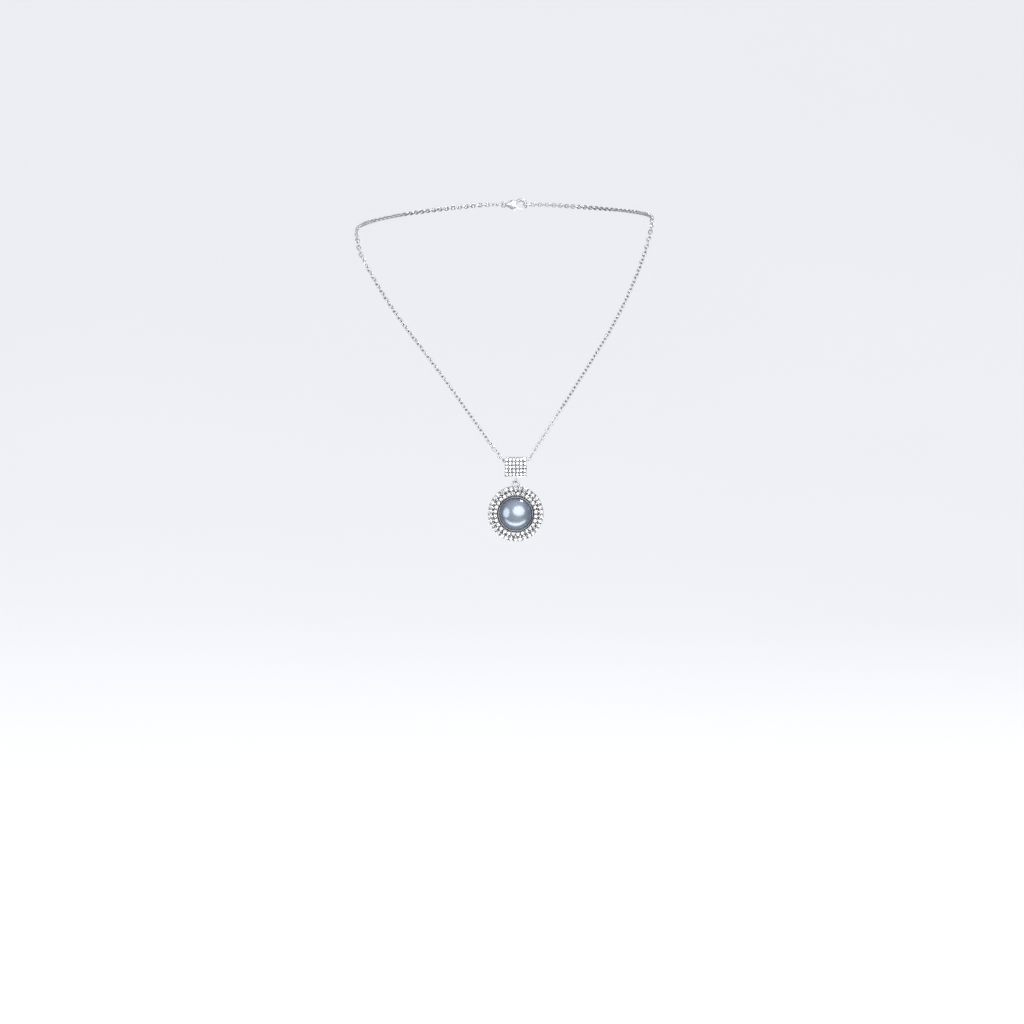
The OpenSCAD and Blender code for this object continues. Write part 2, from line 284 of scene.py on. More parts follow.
def to_range(nt, fac, lo, hi):
    m = nt.nodes.new("ShaderNodeMapRange")
    m.inputs["From Min"].default_value = 0.3
    m.inputs["From Max"].default_value = 0.7
    m.inputs["To Min"].default_value = lo
    m.inputs["To Max"].default_value = hi
    nt.links.new(fac, m.inputs["Value"])
    return m.outputs["Result"]


def bump(nt, bsdf, height, strength, distance):
    b = nt.nodes.new("ShaderNodeBump")
    b.inputs["Strength"].default_value = strength
    b.inputs["Distance"].default_value = distance
    nt.links.new(height, b.inputs["Height"])
    nt.links.new(b.outputs["Normal"], bsdf.inputs["Normal"])


def metal(name, tone, rough_lo, rough_hi, stretch=(1, 1, 1), grain=1500.0, strength=0.12, vary=0.05):
    """Bright plated silver with fine polishing marks."""
    mat, nt, bsdf = new_material(name)
    bsdf.inputs["Metallic"].default_value = 1.0
    bsdf.inputs["IOR"].default_value = 2.0
    vec = coords(nt, stretch)
    broad = noise(nt, vec, 260.0, 3.0)
    fine = noise(nt, vec, grain, 5.0, 0.65)
    dark = tuple(c * (1 - vary) for c in tone)
    nt.links.new(ramp(nt, broad, [(0.3, dark), (0.7, tone)]), bsdf.inputs["Base Color"])
    nt.links.new(to_range(nt, fine, rough_lo, rough_hi), bsdf.inputs["Roughness"])
    bump(nt, bsdf, fine, strength, 0.00002)
    return mat


SILVER = metal("rhodium_polished", (0.78, 0.785, 0.80), 0.07, 0.16)
# painted shade: the chain and ring wire is the same rhodium as the rest, given a darker tone to stand in for dark
# reflections
SHADED_WIRE = metal("rhodium_wire_painted_shade", (0.54, 0.545, 0.565), 0.10, 0.20, grain=2600.0)
SETTING = metal("rhodium_setting", (0.71, 0.715, 0.725), 0.10, 0.20, grain=2200.0, vary=0.04)
# painted shade: the bezel is the same rhodium as the rest, given a much darker tone to stand in for the dark it
# reflects
SHADED_BEZEL = metal("rhodium_bezel_painted_shade", (0.34, 0.345, 0.36), 0.10, 0.18, grain=2200.0)
# painted shade: a near-black metal sheet stands in for the shade in the drilled holes and gaps between the settings
PAINTED_SHADE_FLOOR = metal("setting_painted_shade", (0.045, 0.047, 0.055), 0.32, 0.50, grain=3000.0, vary=0.2)
CAST = metal("rhodium_cast", (0.47, 0.475, 0.49), 0.36, 0.46, grain=1200.0)
SATIN = metal("rhodium_back", (0.80, 0.805, 0.82), 0.24, 0.38, stretch=(1, 1, 9), grain=900.0, strength=0.25)
STEEL = metal("spring_leaf", (0.50, 0.50, 0.51), 0.25, 0.4, stretch=(6, 1, 1), grain=900.0)


def clear_stone():
    mat, nt, bsdf = new_material("clear_stone")
    vec = coords(nt, (1, 1, 1))
    tint = noise(nt, vec, 700.0, 1.0)
    nt.links.new(ramp(nt, tint, [(0.35, (0.97, 0.98, 1.0)), (0.65, (1.0, 1.0, 0.995))]), bsdf.inputs["Base Color"])
    fine = noise(nt, vec, 5000.0, 2.0)
    nt.links.new(to_range(nt, fine, 0.0, 0.03), bsdf.inputs["Roughness"])
    bsdf.inputs["IOR"].default_value = 2.15
    bsdf.inputs["Transmission Weight"].default_value = 0.9
    bsdf.inputs["Specular IOR Level"].default_value = 0.8
    return mat


STONE = clear_stone()


def pearl_material():
    mat, nt, bsdf = new_material("grey_pearl")
    vec = coords(nt, (1, 1, 1))
    body = noise(nt, vec, 120.0, 3.0, 0.5)
    bands = noise(nt, coords(nt, (1, 1, 3.2)), 340.0, 4.0, 0.6)
    mix = nt.nodes.new("ShaderNodeMath")
    mix.operation = "MULTIPLY_ADD"
    mix.inputs[1].default_value = 0.35
    nt.links.new(bands, mix.inputs[0])
    scaled = nt.nodes.new("ShaderNodeMath")
    scaled.operation = "MULTIPLY"
    scaled.inputs[1].default_value = 0.65
    nt.links.new(body, scaled.inputs[0])
    nt.links.new(scaled.outputs[0], mix.inputs[2])
    tones = ramp(nt, mix.outputs[0], [(0.3, (0.17, 0.205, 0.26)), (0.5, (0.21, 0.245, 0.30)), (0.7, (0.25, 0.285, 0.335))])
    # painted shade: the base colour darkens down the sides of the dome towards the girdle
    place = nt.nodes.new("ShaderNodeSeparateXYZ")
    nt.links.new(vec, place.inputs["Vector"])
    edge_shade = nt.nodes.new("ShaderNodeMapRange")
    edge_shade.interpolation_type = "SMOOTHSTEP"
    edge_shade.inputs["From Min"].default_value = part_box("pearl")[0].y + 0.0008
    edge_shade.inputs["From Max"].default_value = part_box("pearl")[0].y + 0.0034
    nt.links.new(place.outputs["Y"], edge_shade.inputs["Value"])
    edge_shade_mix = nt.nodes.new("ShaderNodeMix")
    edge_shade_mix.data_type = "RGBA"
    nt.links.new(edge_shade.outputs["Result"], edge_shade_mix.inputs["Factor"])
    nt.links.new(tones, edge_shade_mix.inputs[6])
    edge_shade_mix.inputs[7].default_value = (0.085, 0.105, 0.14, 1)
    nt.links.new(edge_shade_mix.outputs[2], bsdf.inputs["Base Color"])
    bsdf.inputs["Metallic"].default_value = 0.55
    fine = noise(nt, vec, 1800.0, 4.0)
    nt.links.new(to_range(nt, fine, 0.24, 0.32), bsdf.inputs["Roughness"])
    bsdf.inputs["Coat Weight"].default_value = 0.9
    bsdf.inputs["Coat Roughness"].default_value = 0.15
    bsdf.inputs["Coat IOR"].default_value = 1.75
    bsdf.inputs["Sheen Weight"].default_value = 0.08
    bsdf.inputs["Sheen Roughness"].default_value = 0.4
    bsdf.inputs["Thin Film Thickness"].default_value = 380.0
    bsdf.inputs["Thin Film IOR"].default_value = 1.42
    bump(nt, bsdf, body, 0.10, 0.00006)
    return mat


PEARL = pearl_material()


def cement_material():
    mat, nt, bsdf = new_material("cement")
    vec = coords(nt, (1, 1, 1))
    nt.links.new(ramp(nt, noise(nt, vec, 500.0), [(0.3, (0.70, 0.68, 0.60)), (0.7, (0.82, 0.80, 0.73))]), bsdf.inputs["Base Color"])
    bsdf.inputs["Roughness"].default_value = 0.7
    return mat


# ------------------------------------------------------------------ chain
LINK_IN, PLAY, WIRE_D, LINK_W = 1.51, 0.03, 0.38, 1.6
LEFT = [[1.7, -94, -87.6], [0, -94, -87.6], [-1.7, -94, -87.6],
        [-3.4, -94, -87.6], [-4.6, -93.8, -86.9], [-6.5, -93.3, -84.6],
        [-9.6, -92.4, -80.4], [-14.5, -90.8, -73.6], [-21.6, -88, -63.8],
        [-30.4, -84, -52], [-39, -79.8, -41], [-46.6, -75.7, -30.2],
        [-52.3, -71.8, -20.8], [-55.3, -69.1, -15], [-56.5, -66, -9.8],
        [-56.6, -61.4, -7], [-55.6, -54, -5.8], [-51, -41.5, -4.4],
        [-42.4, -27.5, -3], [-30.4, -14.6, -1.6], [-18.4, -5.6, -0.5],
        [-12.6, -2, -0.1], [-8.6, -0.2, 0], [-6, 0, 0], [-3, 0, 0]]
RIGHT = [[-1.7, -94, -87.6], [0, -94, -87.6], [1.7, -94, -87.6],
         [3.4, -94, -87.6], [4.6, -93.8, -86.9], [6.3, -93.2, -84.2],
         [9, -92.3, -80], [13.5, -90.5, -73], [19.7, -87.8, -63.6],
         [27, -84.6, -52.2], [33.6, -81, -41.6], [39.4, -77, -30.6],
         [43.8, -73, -20.6], [46.6, -70, -12.8], [48.2, -66.6, -6.4],
         [48.6, -61.6, -3], [47.6, -54, -2], [43.6, -41.5, -1.4],
         [36.4, -27.5, -1], [26.4, -14.6, -0.6], [16.4, -5.8, -0.2],
         [10.8, -2, 0], [7.2, -0.2, 0], [4.6, 0, 0], [2, 0, 0]]
CREST = 14


def walk(r, n=16):
    r = np.array(r, float)
    out = []
    for i in range(1, len(r) - 2):
        a, b, c, d = r[i - 1 : i + 3]
        for j in range(n):
            t = j / n
            out.append(0.5 * (2 * b + (c - a) * t + (2 * a - 5 * b + 4 * c - d) * t * t + (3 * b - a - 3 * c + d) * t ** 3))
    out.append(r[-2])
    return np.array(out)


def unit(v):
    return v / np.linalg.norm(v)


def strand(route, stop_x):
    p = walk(route)
    s = np.concatenate([[0], np.cumsum(np.linalg.norm(np.diff(p, axis=0), axis=1))])
    span = s[-1] - abs(route[-2][0] - stop_x)
    count = round(span / (LINK_IN - PLAY))
    if span > s[-1] or count < 10:
        raise RuntimeError("the strand is not as expected")
    pitch = span / count
    knots = np.stack([np.interp(np.arange(count + 1) * pitch, s, p[:, k]) for k in range(3)], 1)
    crest = round(s[16 * (CREST - 1)] / pitch) + 2
    frames, n, t = [], np.array([0.0, -1, 0]), unit(knots[1] - knots[0])
    for i in range(count):
        frames.append((t, n))
        if i + 1 < count:
            t = unit(knots[i + 2] - knots[i + 1])
            n = unit(n - (n @ t) * t)
    return knots, frames, crest, count


jump_lo, jump_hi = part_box("clasp_jump_ring")
end_lo, end_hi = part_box("chain_end_ring")
kl, fl, crest_l, n_l = strand(LEFT, jump_lo.x / MM + 0.5 - 0.02)
kr, fr, crest_r, n_r = strand(RIGHT, end_hi.x / MM - 0.6 + 0.02)
REACH = LINK_IN / 2 + WIRE_D / 2


def mid(k, i):
    return (k[i] + k[i + 1]) / 2


lift_axis = unit(mid(kr, crest_r - 1) + REACH * fr[crest_r - 1][0] - mid(kl, crest_l - 1) - REACH * fl[crest_l - 1][0])


def roll_to(f, a):
    return math.degrees(math.atan2(a @ f[1], a @ np.cross(f[0], f[1])))


def near_to(a, b):
    x = (b - a) / 180
    return a + 180 * (math.floor(abs(x) + 0.5) * (1 if x >= 0 else -1))


def ease(t):
    u = min(max(t, 0), 1)
    return u * u * (3 - 2 * u)


def mixed(a, b, t):
    return a + (b - a) * ease(t)


z_up = np.array([0, 0, 1.0])
turn_l = near_to(roll_to(fl[crest_l - 1], lift_axis) - 90 * (crest_l - 1), 45)
turn_r = near_to(roll_to(fr[crest_r - 1], lift_axis) - 90 * crest_r, 45)
last_l = near_to(roll_to(fl[n_l - 1], z_up) - 90 * (n_l - 1), turn_l)
last_r = near_to(roll_to(fr[n_r - 1], z_up) - 90 * n_r, turn_r)


def roll_l(i):
    if i < crest_l:
        return 90 * i + (mixed(0, 45, (i - 3) / 6) if i < crest_l - 16 else mixed(45, turn_l, (i - crest_l + 16) / 14))
    return 90 * i + mixed(turn_l, last_l, (i - crest_l - 4) / (n_l - crest_l - 10))


def roll_r(i):
    if i < crest_r:
        return 90 * (i + 1) + (mixed(0, 45, (i - 11) / 12) if i < crest_r - 16 else mixed(45, turn_r, (i - crest_r + 16) / 14))
    return 90 * (i + 1) + mixed(turn_r, last_r, (i - crest_r - 4) / (n_r - crest_r - 10))


link_v, link_f = loop_tube(oval(LINK_IN / 2 + WIRE_D / 2, (LINK_W - WIRE_D) / 2, 2.45, 44), WIRE_D / 2, 14)


def lay(builder, k, f, roll, i):
    t, n = f[i]
    b = np.cross(t, n)
    a = math.radians(roll)
    v = math.cos(a) * b + math.sin(a) * n
    w = np.cross(t, v)
    m = np.stack([t, v, w], 1)
    builder.add(link_v @ m.T + mid(k, i), link_f)


def links(name, node, body, parts):
    b = Builder()
    for k, f, roll, i0, i1 in parts:
        for i in range(i0, i1):
            lay(b, k, f, roll(i), i)
    ob = b.make(name, [SHADED_WIRE], sharp=None)
    lo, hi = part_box(node)
    v = np.concatenate(b.v) * MM
    off = max(np.abs(v.min(0) - np.array(lo)).max(), np.abs(v.max(0) - np.array(hi)).max())
    if off > 0.0001:
        raise RuntimeError(f"{name} is {off * 1000:.3f} mm off {node}")
    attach(ob, body)
    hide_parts(node)
    return ob


links("chain_links_front_left", "chain_front_left", "front_chain", [(kl, fl, roll_l, 3, crest_l)])
links("chain_links_front_right", "chain_front_right", "front_chain", [(kr, fr, roll_r, 3, crest_r)])
links("chain_links_in_bail", "chain_bail_links", "front_chain", [(kl, fl, roll_l, 0, 3), (kr, fr, roll_r, 0, 3)])
links("chain_links_back_left", "chain_back_left", "root", [(kl, fl, roll_l, crest_l, n_l)])
links("chain_links_back_right", "chain_back_right", "root", [(kr, fr, roll_r, crest_r, n_r)])


# ------------------------------------------------------------------ rings
def circle(r, n):
    t = np.linspace(0, 2 * math.pi, n, endpoint=False)
    return np.stack([r * np.cos(t), r * np.sin(t)], 1)


def plain_ring(name, node, body, r, bar, centre, plane, mat):
    v, f = loop_tube(circle(r, 96), bar, 24)
    if plane == "xz":
        v = front(v, (0, 0, 0))
    b = Builder()
    b.add(v + np.array(centre), f)
    ob = b.make(name, [mat], sharp=None)
    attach(ob, body)
    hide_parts(node)
    return ob


plain_ring("jump_ring", "clasp_jump_ring", "root", 1.2, 0.25, ((jump_lo.x + jump_hi.x) / 2 / MM, 0, 0), "xy", SILVER)
plain_ring("end_ring", "chain_end_ring", "root", 1.45, 0.3, ((end_lo.x + end_hi.x) / 2 / MM, 0, 0), "xy", SILVER)

drop_lo, drop_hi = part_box("drop_jump_ring")
drop_mid = (np.array(drop_lo) + np.array(drop_hi)) / 2 / MM
drop_len = (drop_hi.z - drop_lo.z) / MM
v, f = loop_tube(stadium(drop_len - 2 * 0.97, 0.695, 28), 0.275, 24)
v = np.stack([v[:, 2], v[:, 1], v[:, 0]], 1) + drop_mid
b = Builder()
b.add(v, [face[::-1] for face in f])
ob = b.make("drop_ring_oval", [SHADED_WIRE], sharp=None)
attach(ob, "drop_ring")
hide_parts("drop_jump_ring")

# ------------------------------------------------------------------ pendant
top_lo, top_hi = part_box("pendant_top_ring")
v, f = loop_tube(circle(1.1, 96), 0.33, 24)
b = Builder()
b.add(front(v + np.array([0, 10.55, 0]), HALO), f)
# a fillet of solder at the foot of the ring
v, f = bead(0.62, 20, 5, 0.3)
v = v @ np.diag([1.25, 1, 0.6])
v = np.stack([v[:, 0], v[:, 2], v[:, 1]], 1)
b.add(front(v + np.array([0, 9.55, 0.0]), HALO), [face[::-1] for face in f])
ob = b.make("top_ring_round", [SHADED_WIRE], sharp=None)
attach(ob, "pendant")
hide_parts("pendant_top_ring")

N_OUT, N_IN, R_OUT, R_IN, D_OUT, D_IN = 34, 28, 9.1, 7.22, 1.5, 1.4
GIRDLE = 1.25


def spot(r, deg):
    a = math.radians(deg)
    return np.array([-r * math.sin(a), r * math.cos(a), 0])


out_turns = [i * 360 / N_OUT for i in range(N_OUT)]
in_turns = [180 / N_IN + i * 360 / N_IN for i in range(N_IN)]

b = Builder()
base = [(6.42, -0.9), (9.5, -0.9), (9.74, -0.66), (9.79, -0.4), (9.79, 0.34), (9.76, 0.50), (9.70, 0.54), (6.5, 0.54), (6.42, 0.48)]
v, f = lathe(base, 256)
b.add(front(v, HALO), f, 0)
# painted shade: a dark sheet a hair above the base stands in for the shade in the drilled holes and in the gap by the
# bezel
v, f = lathe([(6.25, 0.46), (9.72, 0.46), (9.72, 0.56), (6.25, 0.56)], 256)
b.add(front(v, HALO), f, 1)


def collet(d, rim, deep=0.8):
    """A bright cup that follows the underside of a stone, with a thin rim round its girdle."""
    r = d / 2
    return lathe([(0, -0.43 * d - 0.03), (r - 0.09, -0.085), (r - 0.01, -0.035), (r + 0.008, -0.012), (r + 0.008, 0.03), (r + 0.03, 0.045),
                  (r + rim - 0.01, 0.03), (r + rim, -0.01), (r + rim - 0.02, -0.14), (r * 0.74, -0.57 * deep), (r * 0.6, -0.78 * deep), (r * 0.5, -deep),
                  (0, -deep)], 32, closed=False)


for turns, r, d in ((out_turns, R_OUT, D_OUT), (in_turns, R_IN, D_IN)):
    cv, cf = collet(d - 0.1, 0.05)
    for g in turns:
        b.add(front(cv + spot(r, g) + np.array([0, 0, GIRDLE]), HALO), cf, 0)
    step = turns[1] - turns[0]
    for g in turns:
        for dr in (-0.6, 0.6):
            bv, bf = bead(0.175 + rng.uniform(-0.012, 0.012))
            rr = min(r + dr, 9.75)
            b.add(front(bv + spot(rr, g + step / 2) + np.array([0, 0, GIRDLE + 0.08]), HALO), bf, 0)
for g in out_turns:
    bv, bf = bead(0.26 + rng.uniform(-0.02, 0.02), 18, 6)
    bv = turn(bv @ np.diag([1.45, 0.9, 0.8]), g)
    b.add(front(bv + spot(8.16, g + rng.uniform(-0.5, 0.5)) + np.array([0, 0, GIRDLE - 0.04]), HALO), bf, 0)
ob = b.make("halo_pave_setting", [SETTING, PAINTED_SHADE_FLOOR], sharp=50)
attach(ob, "pendant")
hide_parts("halo_setting")


def stone_row(name, node, turns, r, d):
    b = Builder()
    sv, sf = brilliant(d - 0.1)
    for g in turns:
        v = tilt(turn(sv, rng.uniform(0, 45)), rng.uniform(-2.5, 2.5), rng.uniform(-2.5, 2.5))
        b.add(front(v + spot(r, g) + np.array([0, 0, GIRDLE]), HALO), sf)
    ob = b.make(name, [STONE], sharp=1)
    for p in ob.data.polygons:
        p.use_smooth = False
    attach(ob, "pendant")
    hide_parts(node)


stone_row("halo_brilliants_outer", "halo_outer_stones", out_turns, R_OUT, D_OUT)
stone_row("halo_brilliants_inner", "halo_inner_stones", in_turns, R_IN, D_IN)

# bezel with a rolled lip
b = Builder()
cup = [(0, -0.9), (6.1, -0.9), (6.18, -0.82), (6.2, -0.6), (6.2, 1.45), (6.18, 1.72), (6.13, 1.88), (6.05, 2.00),
       (5.97, 2.05), (5.88, 2.03), (5.81, 1.95), (5.775, 1.82), (5.77, 1.6), (5.77, -0.5), (0, -0.5)]
v, f = lathe(cup, 192, closed=False)
b.add(front(v, HALO), f)
ob = b.make("bezel_rolled", [SHADED_BEZEL], sharp=50)
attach(ob, "pendant")
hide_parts("bezel_cup")

# the half-round pearl
pearl_lo, pearl_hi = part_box("pearl")
PR = (pearl_hi.x - pearl_lo.x) / MM / 2
ball = (PR ** 2 + 3.5 ** 2) / (2 * 3.5)
top = 1.7 + 3.5
prof = [(0, -0.4), (PR - 1, -0.4), (PR - 0.15, -0.38), (PR - 0.02, -0.25), (PR, 0.0), (PR, 1.2), (PR, 1.62)]
a0 = math.asin(PR / ball)
for k in range(44):
    a = a0 * (1 - (k + 1) / 44)
    prof.append((ball * math.sin(a) if k < 43 else 0, top - ball + ball * math.cos(a)))
v, f = lathe(prof, 160, closed=False)
b = Builder()
b.add(front(v, HALO), f)
ob = b.make("pearl_dome", [PEARL], sharp=None)
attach(ob, "pendant")
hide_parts("pearl")

# back plate with a turned edge and a fine stamped rim
b = Builder()
plate = [(0, -1.30), (8.5, -1.30), (8.62, -1.27), (8.74, -1.30), (9.42, -1.30), (9.54, -1.26), (9.6, -1.18), (9.6, -0.98),
         (9.56, -0.9), (0, -0.9)]
v, f = lathe(plate, 192, closed=False)
b.add(front(v, HALO), f)
ob = b.make("back_plate_turned", [SATIN], sharp=35)
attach(ob, "pendant")
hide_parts("back_plate")
frame["nodes"]["pearl_cement"].data.materials.clear()
frame["nodes"]["pearl_cement"].data.materials.append(cement_material())

# ------------------------------------------------------------------ bail
bail_lo, bail_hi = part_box("bail_shell")
BW = (bail_hi.x - bail_lo.x) / MM
RI, RO, DROP, FRONT = 1.2, 1.65, 5.2, -1.9


def strap_profile():
    """Closed outline in (y, z): the folded strap with its front plate."""
    out = []
    floor = FRONT + 0.56
    a1 = math.degrees(math.acos((floor - 0.02) / RO))
    out += [(floor, -DROP + 0.06), (floor, RO * math.sin(math.radians(a1)) - 0.06)]
    for k in range(0, 22):
        a = math.radians(a1 - k * (a1 / 21))
        out.append((RO * math.cos(a), RO * math.sin(a)))
    out += [(RO, -2.92), (RO - 0.08, -3.0), (RI + 0.08, -3.0), (RI, -2.92)]
    for k in range(25):
        a = math.radians(180 * k / 24)
        out.append((RI * math.cos(a), RI * math.sin(a)))
    out += [(-RI, -DROP + 0.06), (-RI - 0.06, -DROP), (floor + 0.06, -DROP)]
    return np.array(out)


def prism(outline, x0, x1, inset=0.05):
    """Extrudes a (y, z) outline along X with a small chamfer at both ends."""
    p = np.asarray(outline, float)
    t = np.roll(p, -1, 0) - np.roll(p, 1, 0)
    t /= np.linalg.norm(t, axis=1)[:, None]
    n = np.stack([t[:, 1], -t[:, 0]], 1)
    area = 0.5 * np.sum(p[:, 0] * np.roll(p[:, 1], -1) - np.roll(p[:, 0], -1) * p[:, 1])
    if area < 0:
        n = -n
    small = p - n * inset
    rings = [(x0, small), (x0 + inset, p), (x1 - inset, p), (x1, small)]
    v = np.concatenate([np.column_stack([np.full(len(q), x), q]) for x, q in rings])
    m = len(p)
    f = []
    for r in range(3):
        for k in range(m):
            l = (k + 1) % m
            quad = [r * m + k, r * m + l, (r + 1) * m + l, (r + 1) * m + k]
            f.append(quad if area < 0 else quad[::-1])
    caps = [list(range(m)), list(range(3 * m, 4 * m))]
    f.append(caps[0] if area < 0 else caps[0][::-1])
    f.append(caps[1][::-1] if area < 0 else caps[1])
    f[-2] = f[-2][::-1]
    f[-1] = f[-1][::-1]
    return v, f


b = Builder()
v, f = prism(strap_profile(), -BW / 2, BW / 2)
b.add(v + BAIL, f, 0)
for s in (-1, 1):
    x0 = s * (BW / 2 - 0.25) - 0.2
    v, f = prism([(-RI - 0.02, -DROP + 0.04), (RI + 0.18, -DROP + 0.04), (RI + 0.18, -3.14), (-RI - 0.02, -3.14)], x0, x0 + 0.4, 0.06)
    b.add(v + BAIL, f, 0)
# low wall round the stone field
walls = [(-BW / 2, -BW / 2 + 0.11, -DROP + 0.02, 1.30), (BW / 2 - 0.11, BW / 2, -DROP + 0.02, 1.30),
         (-BW / 2 + 0.05, BW / 2 - 0.05, -DROP + 0.02, -DROP + 0.13)]
for x0, x1, z0, z1 in walls:
    v, f = prism([(FRONT + 0.16, z0), (FRONT + 0.16, z1), (FRONT + 0.66, z1), (FRONT + 0.66, z0)], x0, x1, 0.02)
    b.add(v + BAIL, f, 0)
v, f = bead(0.27, 20, 6, 0.15)
v = np.stack([-v[:, 2] * 0.55 - BW / 2 + 0.10, v[:, 1], v[:, 0]], 1)
b.add(v + BAIL + np.array([0, -RI - 0.1, -2.45]), f, 0)
# painted shade: a dark sheet under the stones stands in for the shade in the drilled holes
v, f = prism([(FRONT + 0.55, -DROP + 0.12), (FRONT + 0.55, 1.05), (FRONT + 0.58, 1.05), (FRONT + 0.58, -DROP + 0.12)], -BW / 2 + 0.1, BW / 2 - 0.1, 0.01)
b.add(v + BAIL, f, 1)
COLS, ROWS, PX, PZ, ZM, DB = 6, 5, 1.28, 1.29, -1.78, 1.12
cv, cf = collet(DB - 0.08, 0.05, 0.6)
spots = [((c - 2.5) * PX, FRONT, ZM + (r - 2) * PZ) for c in range(COLS) for r in range(ROWS)]
for x, y, z in spots:
    b.add(front(cv + np.array([0, 0, -0.04]), BAIL + np.array([x, y, z])), cf, 0)
for c in range(COLS + 1):
    for r in range(ROWS + 1):
        bv, bf = bead(0.19 + rng.uniform(-0.01, 0.01), deep=0.6)
        x = (c - 3) * PX
        z = ZM + (r - 2.5) * PZ
        x = max(min(x, BW / 2 - 0.17), -BW / 2 + 0.17)
        z = max(min(z, 1.65 - 0.17), -DROP + 0.17)
        b.add(front(bv + np.array([0, 0, 0.02]), BAIL + np.array([x, FRONT, z])), bf, 0)
ob = b.make("bail_pave_strap", [SETTING, PAINTED_SHADE_FLOOR], sharp=50)
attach(ob, "bail")
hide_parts("bail_shell")

b = Builder()
sv, sf = brilliant(DB - 0.08)
for x, y, z in spots:
    v = tilt(turn(sv, rng.uniform(0, 45)), rng.uniform(-2.5, 2.5), rng.uniform(-2.5, 2.5))
    b.add(front(v + np.array([0, 0, -0.04]), BAIL + np.array([x, y, z])), sf)
ob = b.make("bail_brilliants", [STONE], sharp=1)
for p in ob.data.polygons:
    p.use_smooth = False
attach(ob, "bail")
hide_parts("bail_stones")

bar_lo, bar_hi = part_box("bail_bar")
b = Builder()
L = (bar_hi.x - bar_lo.x) / MM / 2
v, f = lathe([(0, -L), (0.2, -L), (0.27, -L + 0.03), (0.3, -L + 0.08), (0.3, L - 0.08), (0.27, L - 0.03), (0.2, L), (0, L)], 32, closed=False)
v = np.stack([v[:, 2], v[:, 1], -v[:, 0]], 1) + (np.array(bar_lo) + np.array(bar_hi)) / 2 / MM
b.add(v, f)
ob = b.make("bail_bar_peened", [SILVER], sharp=50)
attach(ob, "bail")
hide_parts("bail_bar")


# ------------------------------------------------------------------ clasp
def cast(node, name, body, voxel, mat, smooth=6, shape=None):
    """The CAD piece with its edges softened, as a cast and tumbled piece has them."""
    src = frame["nodes"][node]
    me = src.data.copy()
    me.name = name
    ob = bpy.data.objects.new(name, me)
    scene.collection.objects.link(ob)
    ob.matrix_world = src.matrix_world.copy()
    me.materials.clear()
    me.materials.append(mat)
    weld = ob.modifiers.new("weld", "WELD")
    weld.merge_threshold = 0.000002
    re = ob.modifiers.new("remesh", "REMESH")
    re.mode = "VOXEL"
    re.voxel_size = voxel * MM
    re.use_smooth_shade = True
    sm = ob.modifiers.new("smooth", "SMOOTH")
    sm.factor = 0.5
    sm.iterations = smooth
    dg = bpy.context.evaluated_depsgraph_get()
    done = bpy.data.meshes.new_from_object(ob.evaluated_get(dg))
    ob.modifiers.clear()
    ob.data = done
    done.name = name
    if shape:
        n = len(done.vertices)
        co = np.empty(n * 3, np.float32)
        done.vertices.foreach_get("co", co)
        m = np.array(ob.matrix_world)
        w = co.reshape(-1, 3) @ m[:3, :3].T + m[:3, 3]
        w = shape(w / MM) * MM
        inv = np.linalg.inv(m)
        done.vertices.foreach_set("co", (w @ inv[:3, :3].T + inv[:3, 3]).astype(np.float32).ravel())
        done.update()
    if not done.materials:
        done.materials.append(mat)
    done.shade_smooth()
    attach(ob, body)
    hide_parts(node)
    return ob


def domed(v):
    """Rounds the two cheeks of the pear-shaped body towards its rim."""
    t = np.clip((-1.1 - v[:, 0]) / 2.8, 0, 1)
    rad = 1.7 - 1.1 * t
    d = rad - np.hypot(v[:, 0] + 1.1 + 2.8 * t, v[:, 2])
    reach = np.clip(d / 1.65, 0, 1)
    dome = 0.52 + 0.48 * np.sqrt(1 - (1 - reach) ** 2)
    body = np.clip((0.55 - v[:, 0]) / 0.7, 0, 1)
    body = body * body * (3 - 2 * body) * (v[:, 0] > -4.0)
    v = v.copy()
    v[:, 1] *= 1 + body * (dome - 1) * np.clip((np.abs(v[:, 1]) - 0.4) / 0.3, 0, 1)
    return v


cast("clasp_body", "clasp_body_cast", "clasp", 0.045, CAST, smooth=22, shape=domed)
cast("clasp_lever", "clasp_lever_cast", "lever", 0.035, CAST, smooth=10)
for node, mat in (("clasp_pivot_pin", SILVER), ("clasp_spring", STEEL)):
    me = frame["nodes"][node].data
    me.materials.clear()
    me.materials.append(mat)

# ------------------------------------------------------------------ floor, backdrop, light
def stage_material():
    mat, nt, bsdf = new_material("pale_stage")
    vec = coords(nt, (1, 1, 1))
    nt.links.new(ramp(nt, noise(nt, vec, 3.0), [(0.3, (0.355, 0.36, 0.37)), (0.7, (0.365, 0.37, 0.38))]), bsdf.inputs["Base Color"])
    bsdf.inputs["Roughness"].default_value = 0.85
    bsdf.inputs["Specular IOR Level"].default_value = 0.2
    bsdf.inputs["Emission Color"].default_value = (0.97, 0.98, 1.0, 1)
    bsdf.inputs["Emission Strength"].default_value = 0.44
    return mat


depth, wide, rise, bend = 6.0, 9.0, 6.0, 1.6
pts = [(-depth, 0.0)]
back = 1.2
for k in range(17):
    a = math.pi / 2 * k / 16
    pts.append((back + bend * math.sin(a), bend * (1 - math.cos(a))))
pts.append((back + bend, rise))
verts = [(x * wide, y, FLOOR + z) for y, z in pts for x in (-1, 1)]
faces = [[2 * i, 2 * i + 1, 2 * i + 3, 2 * i + 2] for i in range(len(pts) - 1)]
me = bpy.data.meshes.new("stage_sweep")
me.from_pydata(verts, [], faces)
me.materials.append(stage_material())
me.shade_smooth()
sweep = bpy.data.objects.new("stage_sweep", me)
scene.collection.objects.link(sweep)
sweep.visible_glossy = False
sweep.visible_transmission = False


